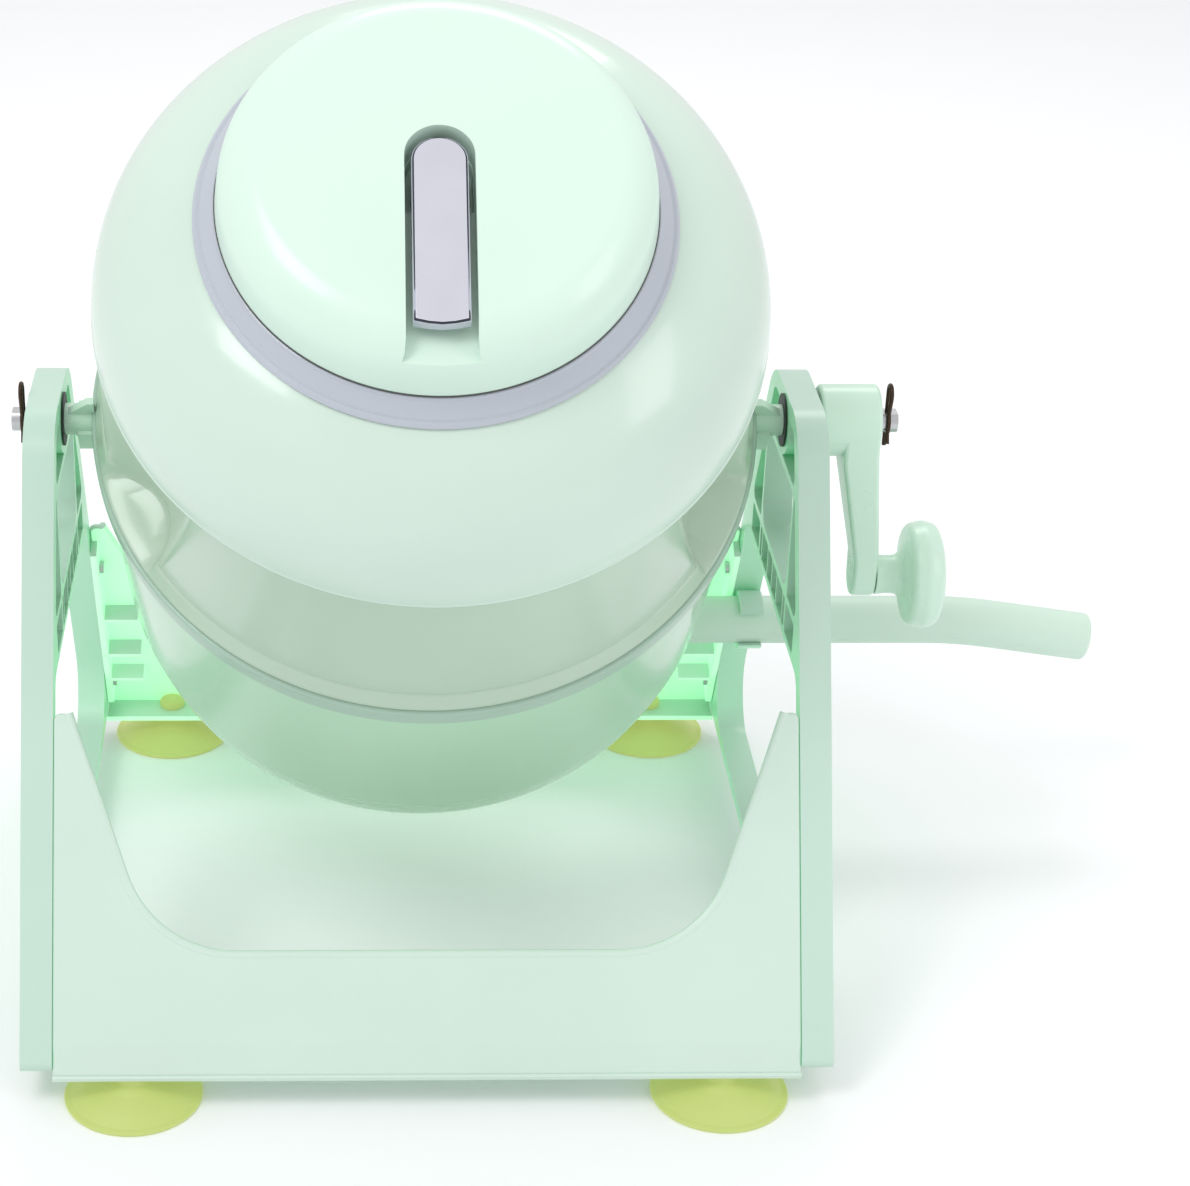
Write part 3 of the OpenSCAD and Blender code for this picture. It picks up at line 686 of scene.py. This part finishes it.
STEPS = 480
belt_low = [(SEAM, 8.05), (RIM - 0.8, 8.05), (RIM - 0.1, 8.3), (RIM, 8.9), (133.8, 9.6), (133.6, 10.2),
            (133.2, 11), (132.4, 12.7), (131.5, 14.8), (131.1, 15.6), (130.8, 16.0), (130.35, 16.2)]
belt_heights = [16.6, 17.5] + levels(20, 88, 24) + [89, 89.8, 90.2, 90.5]
belt_up = [(130.3 - (t - 16.4) * 0.0268, t) for t in belt_heights]
bead = [(128.55, 90.75), (129.05, 90.85), (129.35, 91.15), (129.35, 91.6), (129.2, 91.95), (128.9, 92.3)]
dome = [(DOME_C[0] + DOME_R * math.cos(math.radians(a)), DOME_C[1] + DOME_R * math.sin(math.radians(a)))
        for a in levels(1, 71.5, 30)]
inner = DOME_R - TUB - 0.2
mouth_a = math.degrees(math.acos((MOUTH - DOME_C[0]) / inner))
dome_in = [(DOME_C[0] + inner * math.cos(math.radians(a)), DOME_C[1] + inner * math.sin(math.radians(a)))
           for a in levels(mouth_a, 0, 24)]
neck = [(87.6, 149.2), (85.6, 149.2), (79.4, 155.8), (79.0, 156), (75.6, 156), (MOUTH, 155.5)]
belt_in = [(SEAM - 0.9 * ramp(t, 16, 92), t) for t in levels(88, 18, 20)]

SPLIT = 91.2
# Belt and dome are one moulding; the belt takes the darker material as painted shade.
outer_rows = tub_grid(belt_low + belt_up + bead[:4], STEPS, 0)
inner_rows = tub_grid([(126.0, SPLIT + 0.4)] + belt_in + [(SEAM, 12), (SEAM, 8.05)], STEPS, TUB)
flow_normals(grid_piece("tub_belt", outer_rows + inner_rows[:-1], BELT, "drum",
                        ["upper_tub"]))
dome_rows = [[(r, 2 * math.pi * k / STEPS, t) for k in range(STEPS)]
             for r, t in bead[3:] + dome + neck + dome_in + [(126.0, bead[3][1])]]
flow_normals(grid_piece("tub_dome", dome_rows, DOME, "drum", ["upper_tub"]))

low_in = 55 - TUB
BOWL_C = (73, -106)
BOWL_END = BOWL_C[1] - 55
VALVE_R = 14.6
bowl = [(SEAM, -1.05, 0), (RIM - 0.1, -1.05, 0.4), (RIM, -2.4, 0.6), (RIM - 1, -3.1, 0.5),
        (129.3, -103.6, 0.5),
        (128.7, -105.6, 0.7)]
bowl += [(x, y, 0) for x, y in arc(*BOWL_C, 55, -1, -90, 30)]
bowl += [(VALVE_R, BOWL_END, 0), (VALVE_R, BOWL_END + TUB, 0)]
bowl += [(x, y, 0) for x, y in arc(*BOWL_C, low_in, -90, 0, 24)]
flow_normals(lathe("tub_bowl", bowl, BOWL, "drum", DRUM, ["lower_tub"], steps=256))

hoop = [(SEAM, -1, 0), (HOOP_R - 0.1, -1, 1.1), (HOOP_R, 3.4, 1.5), (HOOP_R, 8, 1.1), (SEAM, 8, 0)]
flow_normals(lathe("drum_hoop", hoop, HOOP, "drum", DRUM, ["carrier_ring"], steps=256))

collar = [(85.8, 149.3, 0), (88.2, 149.3, 0.3), (88.4, 150.0, 0.3), (87.4, 151.1, 0.3), (86.2, 151.2, 0.3),
          (85.6, 152.2, 0.3), (81.2, 156.6, 0.3), (80.9, 157.6, 0.3), (80.0, 157.75, 0.2),
          (76.6, 157.75, 0.2),
          (76.6, 156.1, 0), (79.3, 156.1, 0)]
flow_normals(lathe("neck_collar", collar, COLLAR, "drum", DRUM, ["neck_ring"], steps=256))


def trunnion(side, s):
    place = DRUM @ (Matrix.Scale(-1, 4, (1, 0, 0)) if s < 0 else Matrix.Identity(4))
    flat = place @ Matrix(((1, 0, 0, 0), (0, 0, -1, 0), (0, 1, 0, 0), (0, 0, 0, 1)))
    web = [(HOOP_R - 1.2, 0), (HOOP_R - 1.2, 14.5), (137.2, 14.5), (146.4, 5.5), (146.4, -5.5), (138, -22),
           (HOOP_R - 1.2, -22)]
    plate = loose(*slab_mesh(web, -1.6, 1.6), flat)
    box = loose(*slab_mesh([(134.7, -8), (141.7, -8), (141.7, 8), (134.7, 8)], -11, 1), place)
    across = place @ Matrix(((0, 0, 1, 0), (0, 1, 0, 0), (-1, 0, 0, 0), (0, 0, 0, 1)))
    stub = loose(*slab_mesh(circle(0, 0, 6.5), 134.2, 147), across)
    bore = loose(*slab_mesh(circle(0, 0, 5.02), 136, 150), across)
    combine(plate, [box, stub], "UNION")
    combine(plate, [bore], "DIFFERENCE")
    soften(plate, 0.6, 2)
    plate.name = plate.data.name = "trunnion_" + side
    finish_mesh(plate, 45)
    own(plate, CRANK, "drum", ["carrier_ring"])
    flow_normals(plate)


for side, _, s in SIDES:
    trunnion(side, s)


def spring_clip(side):
    low, high = box_mm("clip_" + side)
    x = (low[0] + high[0]) / 2
    r, hug, spread = 3.6, 6.05, 42
    path = [(0, -11), (0, 0), (0, 13)]
    path += arc(-r, 13, r, 0, 180, 16)[1:]
    hug_y, hug_z = hug * math.cos(math.radians(spread)), hug * math.sin(math.radians(spread))
    path += [(-2 * r + 0.05, 12), (-hug_y - 0.5, hug_z + 1.8)]
    path += arc(0, 0, hug, 180 - spread, 180 + spread, 12)
    path += [(-5.3, -6.0), (-6.4, -8)]
    points = [(x, y, AXLE_Z + z) for y, z in path]
    clip = wire("wire_clip_" + side, points, 0.9, WIRE, "drum")
    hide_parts("clip_" + side)
    flow_normals(clip)


for side, _, _ in SIDES:
    spring_clip(side)


# ---------- crank ----------

HUB_IN, HUB_OUT, HUB_R = 161.8, 186.5, 14.9
KNOB_IN, KNOB_OUT = 191.3, 219
THROW = AXLE_Z - KNOB_Z
END_R = 9


def crank():
    hub = loose(*slab_mesh(circle(0, AXLE_Z, HUB_R, 96), HUB_IN, HUB_OUT), TO_RIGHT)
    soften(hub, 1.6, 4)
    side = math.asin((HUB_R - END_R) / THROW)
    turn = math.degrees(side)
    plan = arc(0, AXLE_Z, HUB_R - 0.2, -turn, 180 + turn, 36) + arc(0, KNOB_Z, END_R, 180 + turn,
                                                                    360 - turn, 36)
    arm = loose(*slab_mesh(plan, HUB_IN, KNOB_IN), TO_RIGHT)
    front = WORLD @ Matrix(((1, 0, 0, 0), (0, 0, -1, 0), (0, 1, 0, 0), (0, 0, 0, 1)))
    section = rounded([(HUB_OUT - 14.5, AXLE_Z + HUB_R, 0), (HUB_OUT, AXLE_Z + HUB_R, 0),
                       (HUB_OUT, AXLE_Z - 10, 30),
                       (KNOB_IN - 0.3, KNOB_Z + 12, 20), (KNOB_IN - 0.3, KNOB_Z - END_R - 1, 0),
                       (KNOB_IN - 10.3, KNOB_Z - END_R - 1, 0), (KNOB_IN - 10.3, KNOB_Z + 9, 20),
                       (HUB_OUT - 14.5, AXLE_Z - HUB_R, 30)], finest=4)
    combine(arm, [loose(*slab_mesh(section, -40, 40), front)], "INTERSECT")
    soften(arm, 1.8, 4, 35)
    combine(hub, [arm], "UNION")
    bore = loose(*slab_mesh(circle(0, AXLE_Z, 5.02), HUB_IN - 5, HUB_OUT + 5), TO_RIGHT)
    combine(hub, [bore], "DIFFERENCE")
    hub.name = hub.data.name = "crank_arm"
    finish_mesh(hub, 38)
    own(hub, CRANK, "drum", ["crank"])
    flow_normals(hub)


crank()
KNOB_AXIS = WORLD @ Matrix.Translation((0, 0, KNOB_Z)) @ Matrix.Rotation(math.pi / 2, 4, "Y")
kr = (box_mm("crank_knob")[1][1] - box_mm("crank_knob")[0][1]) / 2
knob = [(3.06, KNOB_IN, 0), (8.6, KNOB_IN, 0.5), (8.1, KNOB_IN + 4, 6), (8.2, KNOB_IN + 10, 4),
        (kr - 7, KNOB_IN + 12.6, 6),
        (kr - 1.6, KNOB_IN + 13.6, 3.5), (kr, KNOB_IN + 20, 6), (kr - 1.4, KNOB_OUT - 2.2, 4),
        (kr - 7, KNOB_OUT, 5),
        (9, KNOB_OUT - 0.4, 1), (7, KNOB_OUT - 1, 0.6), (7, KNOB_OUT - 6.2, 0), (3.06, KNOB_OUT - 6.2, 0)]
flow_normals(lathe("grip_knob", knob, CRANK, "knob", KNOB_AXIS, ["crank_knob"], steps=128, finest=8))


# ---------- lid ----------

LID_BASE = 158.05
LID_R = 80
TOP_R, LID_EDGE, LID_ROUND, CROWN = 61, 184.5, 18, 3.5
SPIGOT_R, SPIGOT_T = 74.4, 154
SLOT_R, SLOT_C, SLOT_FLOOR = 12.5, 0.5, 174.5
WELL_FLOOR, WELL_FRONT = 167.5, -15
PIVOT = 178.5


def lid_skin(off):
    path = [(LID_R - off, LID_BASE + off), (LID_R - 0.8 - off, LID_EDGE - LID_ROUND)]
    path += arc(TOP_R, LID_EDGE - LID_ROUND, LID_ROUND - off, 5, 90, 18)
    path += [(TOP_R * u, LID_EDGE - off + CROWN * (1 - u * u)) for u in (0.85, 0.7, 0.55, 0.4, 0.25, 0.1)]
    return path + [(0, LID_EDGE - off + CROWN)]


def slot_plan(grow):
    """The slot seen from above, with edges that flare where it leaves the lid."""
    r = SLOT_R + grow
    flare = [(r, -70), (r + 0.4, -74), (r + 2, -77.5), (r + 5, -80), (r + 9, -86)]
    return arc(0, SLOT_C, r, 0, 180, 32) + [(-x, m) for x, m in flare] + list(reversed(flare))


def lid():
    """The cap: a turned shell with a channel for the lever and a well for its cam."""
    shell_t = 2.5
    outer = loose(*turned(lid_skin(0) + [(0, SPIGOT_T), (SPIGOT_R - 0.3, SPIGOT_T),
                                         (SPIGOT_R, SPIGOT_T + 0.3),
                                         (SPIGOT_R, LID_BASE), (LID_R - 0.4, LID_BASE)], 256), DRUM)
    hollow = loose(*turned(lid_skin(shell_t)[1:] + [(0, SPIGOT_T - 2), (SPIGOT_R - shell_t, SPIGOT_T - 2),
                                                    (SPIGOT_R - shell_t, LID_BASE + shell_t),
                                                    (LID_R - 0.8 - shell_t, LID_BASE + shell_t)], 256), DRUM)
    well_r = SLOT_R - 0.3
    well = arc(0, SLOT_C, well_r, 0, 180, 32) + [(-well_r, WELL_FRONT), (well_r, WELL_FRONT)]
    skin_r = well_r + shell_t
    well_skin = arc(0, SLOT_C, skin_r, 0, 180, 32) + [
        (-skin_r, WELL_FRONT - shell_t), (skin_r, WELL_FRONT - shell_t)]
    combine(hollow, [loose(*slab_mesh(slot_plan(shell_t), SLOT_FLOOR - shell_t, 220), DRUM),
                     loose(*slab_mesh(well_skin, WELL_FLOOR - shell_t, SLOT_FLOOR), DRUM)], "DIFFERENCE")
    combine(outer, [hollow], "DIFFERENCE")
    combine(outer, [loose(*slab_mesh(slot_plan(0), SLOT_FLOOR, 220), DRUM)], "DIFFERENCE")
    combine(outer, [loose(*slab_mesh(well, WELL_FLOOR, SLOT_FLOOR + 1), DRUM)], "DIFFERENCE")
    combine(outer, [loose(*slab_mesh(circle(0, 0, 4.06), 150, WELL_FLOOR + 1), DRUM)], "DIFFERENCE")
    outer.name = outer.data.name = "lid_shell"
    return outer


def lever_outline(inset):
    half = LEVER_W / 2 - inset
    outer = -66 + inset
    side = [(half, outer + 1.4), (half * 0.5, outer + 0.4), (0, outer), (-half * 0.5, outer + 0.4),
            (-half, outer + 1.4)]
    return arc(0, 9 - LEVER_W / 2, half, 0, 180, 28) + list(reversed(side))


LEVER_W = 20
LEVER_TOP = [(-66, 182.8), (-60, 183.6), (0, 186.6), (9.2, 186)]


def top_at(m):
    for (m0, t0), (m1, t1) in zip(LEVER_TOP, LEVER_TOP[1:]):
        if m <= m1:
            return t0 + (t1 - t0) * (m - m0) / (m1 - m0)
    return LEVER_TOP[-1][1]


def draped(inset, lift, depth):
    """A plate with the lever's plan whose top follows the lever's top, raised by the lift."""
    plan = lever_outline(inset)
    n = len(plan)
    verts = [(x, m, top_at(m) + lift - depth) for x, m in plan] + [(x, m, top_at(m) + lift) for x, m in plan]
    faces = [tuple(range(n)), tuple(range(n, 2 * n))]
    faces += [(i, (i + 1) % n, n + (i + 1) % n, n + i) for i in range(n)]
    return loose(verts, faces, DRUM)


lid_piece = lid()
soften(lid_piece, 0.9, 3, 48)
finish_mesh(lid_piece, 45)
own(lid_piece, LID, "lid", ["lid_cap"])
flow_normals(lid_piece)


# A dark rubber lip at the lid's foot, there to paint the shadow gap between lid and collar.
lip = [(78.6, 157.85, 0), (LID_R + 0.35, 157.85, 0.2), (LID_R + 0.35, 158.6, 0.2), (78.6, 158.6, 0)]
flow_normals(lathe("lid_gap_shade_lip", lip, RUBBER, "lid", steps=256))


# ---------- drain tube ----------

TUBE_Y, TUBE_Z, TUBE_R, TUBE_BORE = 90, 91.5, 11, 9.2
TUBE_START, TUBE_TURN, TUBE_TAIL, TUBE_BEND = 108, 251, 62, math.radians(8.5)


def tube():
    """A rigid tube with one easy bend and rounded ends."""
    steps, ease, lip = 20, 16, 2.2
    away = Vector((math.cos(TUBE_BEND), 0, -math.sin(TUBE_BEND)))
    a = Vector((TUBE_TURN - ease, TUBE_Y, TUBE_Z))
    b = Vector((TUBE_TURN, TUBE_Y, TUBE_Z))
    c = b + away * ease
    line = [Vector((TUBE_START, TUBE_Y, TUBE_Z)), a]
    for k in range(1, steps + 1):
        u = k / steps
        line.append(a * (1 - u) ** 2 + b * 2 * u * (1 - u) + c * u * u)
    line.append(b + away * TUBE_TAIL)
    stations = []
    for i, p in enumerate(line):
        ahead = line[min(i + 1, len(line) - 1)] - line[max(i - 1, 0)]
        stations.append((p, ahead.normalized()))
    first, last = stations[0], stations[-1]

    def mouth(at, along, sign):
        """Rings of a rounded end."""
        out = []
        for turn in levels(90, 0, 6):
            r = TUBE_R - lip + lip * math.sin(math.radians(turn))
            shift = sign * (lip * math.cos(math.radians(turn)) - lip)
            out.append((at + along * shift, along, r))
        return out

    outside = list(reversed(mouth(*first, -1)))
    outside += [(p, d, TUBE_R) for p, d in stations[1:-1]]
    outside += mouth(*last, 1)
    inside = [(last[0] - last[1] * 0.3, last[1], TUBE_BORE)]
    inside += [(p, d, TUBE_BORE) for p, d in reversed(stations[1:-1])]
    inside.append((first[0] + first[1] * 0.3, first[1], TUBE_BORE))
    rings = outside + inside
    n = 64
    verts, faces = [], []
    for p, d, r in rings:
        up = Vector((0, 1, 0))
        side = d.cross(up).normalized()
        for k in range(n):
            a = 2 * math.pi * k / n
            verts.append(p + side * r * math.cos(a) + up * r * math.sin(a))
    count = len(rings)
    for i in range(count):
        m = (i + 1) % count
        for k in range(n):
            faces.append((i * n + k, i * n + (k + 1) % n, m * n + (k + 1) % n, m * n + k))
    flow_normals(piece("waste_tube", verts, faces, TUBE, "tube", WORLD, ["drain_tube"], 50))


tube()


# ---------- lever ----------

def lever():
    section = [(-66, 179.4), (-13, 179.7), (-8, 168.5), (0, PIVOT - 10.7), (6, 169.6), (10.3, PIVOT),
               (9.2, 185),
               (8.6, 186), (0, 186.6), (-60, 183.6), (-65.4, 182.8), (-66.2, 182.2)]
    fork = [(-5.5, 160), (14.5, 160), (14.5, PIVOT + 5.5), (-5.5, PIVOT + 5.5)]
    across = DRUM @ Matrix(((0, 0, 1, 0), (1, 0, 0, 0), (0, 1, 0, 0), (0, 0, 0, 1)))
    body = loose(*slab_mesh(lever_outline(0), 160, 190), DRUM)
    combine(body, [loose(*slab_mesh(section, -15, 15), across)], "INTERSECT")
    combine(body, [loose(*slab_mesh(fork, -4.3, 4.3), across)], "DIFFERENCE")
    combine(body, [loose(*slab_mesh(circle(0, PIVOT, 2.06), -20, 20), across)], "DIFFERENCE")
    soften(body, 0.7, 3, 35)
    body.name = body.data.name = "lever_body"
    finish_mesh(body, 45)
    own(body, COLLAR, "lever", ["lid_lever"])
    flow_normals(body)
    # The dark band under the bright plate paints the shade on the plate's bevelled edge.
    for name, inset, lift, depth, material, node in (("lever_edge_shade", 0.3, 0.3, 0.6, EDGE, "lid_lever"),
                                                     ("lever_face", 0.85, 0.78, 1.2, PLATE, "lever_plate")):
        plate = draped(inset, lift, depth)
        soften(plate, 0.25, 3, 35)
        plate.name = plate.data.name = name
        finish_mesh(plate, 45)
        own(plate, material, "lever", [node])
        flow_normals(plate)


lever()


# ---------- CAD nodes that stay ----------

KEPT = {
    "frame_screws": STEEL, "bush_left": STAND, "bush_right": STAND, "tube_clip": STAND, "tub_seal": RUBBER,
    "axle_left": STEEL, "axle_right": STEEL, "washer_left": WASHER, "washer_right": WASHER,
    "knob_screw": STEEL,
    "valve_seat": NYLON, "valve_nut": NYLON, "valve_plunger": NYLON, "valve_seal": RUBBER,
    "valve_spring": STEEL,
    "lid_gasket": RUBBER, "clamp_rod": STEEL, "lever_pin": STEEL, "pressure_plate": DOME, "clamp_nut": STEEL,
}
for node, material in KEPT.items():
    obj = nodes[node]
    for held in obj.material_slots:
        held.material = material


# ---------- floor, light and camera ----------

floor_mesh = bpy.data.meshes.new("floor")
floor_mesh.from_pydata([(-6, -6, 0), (6, -6, 0), (6, 6, 0), (-6, 6, 0)], [], [(0, 1, 2, 3)])
floor = bpy.data.objects.new("floor", floor_mesh)
bpy.context.scene.collection.objects.link(floor)
FLOOR = plastic("floor_paper", srgb(250, 251, 253), 0.6, tint=0.002)
floor_mesh.materials.append(FLOOR)

scene = bpy.context.scene
scene.view_settings.view_transform = "Standard"
scene.view_settings.look = "None"
world = bpy.data.worlds.new("studio")
scene.world = world
world.use_nodes = True
world.node_tree.nodes["Background"].inputs["Color"].default_value = (1, 1, 1, 1)
world.node_tree.nodes["Background"].inputs["Strength"].default_value = 0.85


def area(name, place, size, energy):
    """A soft light that looks at the machine's middle."""
    light = bpy.data.lights.new(name, "AREA")
    light.shape = "RECTANGLE"
    light.size, light.size_y = size
    light.energy = energy
    obj = bpy.data.objects.new(name, light)
    scene.collection.objects.link(obj)
    obj.location = Vector(place) + MIDDLE
    look = Vector((0, 0, 0.25)) + MIDDLE - obj.location
    obj.rotation_euler = look.to_track_quat("-Z", "Y").to_euler()


area("key", (-0.7, -0.7, 1.5), (0.5, 0.7), 7.0)
area("fill", (1.1, -0.7, 0.9), (0.4, 0.8), 2.2)
area("back", (0.2, 1.1, 1.3), (0.9, 0.4), 4.5)

PITCH = math.radians(26.42)
# In widths of the picture: the focal length, how far the picture's middle lies right of the lens's axis, and
# the part of that which the lens's shift takes. A small turn takes the rest.
FOCUS = 2.335622
OFF_AXIS = 0.216235
SHIFT = 0.15
turn = math.asin((OFF_AXIS - SHIFT) / FOCUS)
camera_data = bpy.data.cameras.new("camera")
camera_data.sensor_width = 36
camera_data.lens = FOCUS * camera_data.sensor_width
camera_data.shift_x = SHIFT
camera_data.clip_start, camera_data.clip_end = 0.05, 50
camera = bpy.data.objects.new("camera", camera_data)
scene.collection.objects.link(camera)
eye = Vector((-35.73, -1053.28, 673.13)) * MM + MIDDLE
aim = Matrix.Rotation(math.pi / 2 - PITCH, 4, "X") @ Matrix.Rotation(-turn, 4, "Y")
camera.matrix_world = Matrix.Translation(eye) @ aim
scene.camera = camera
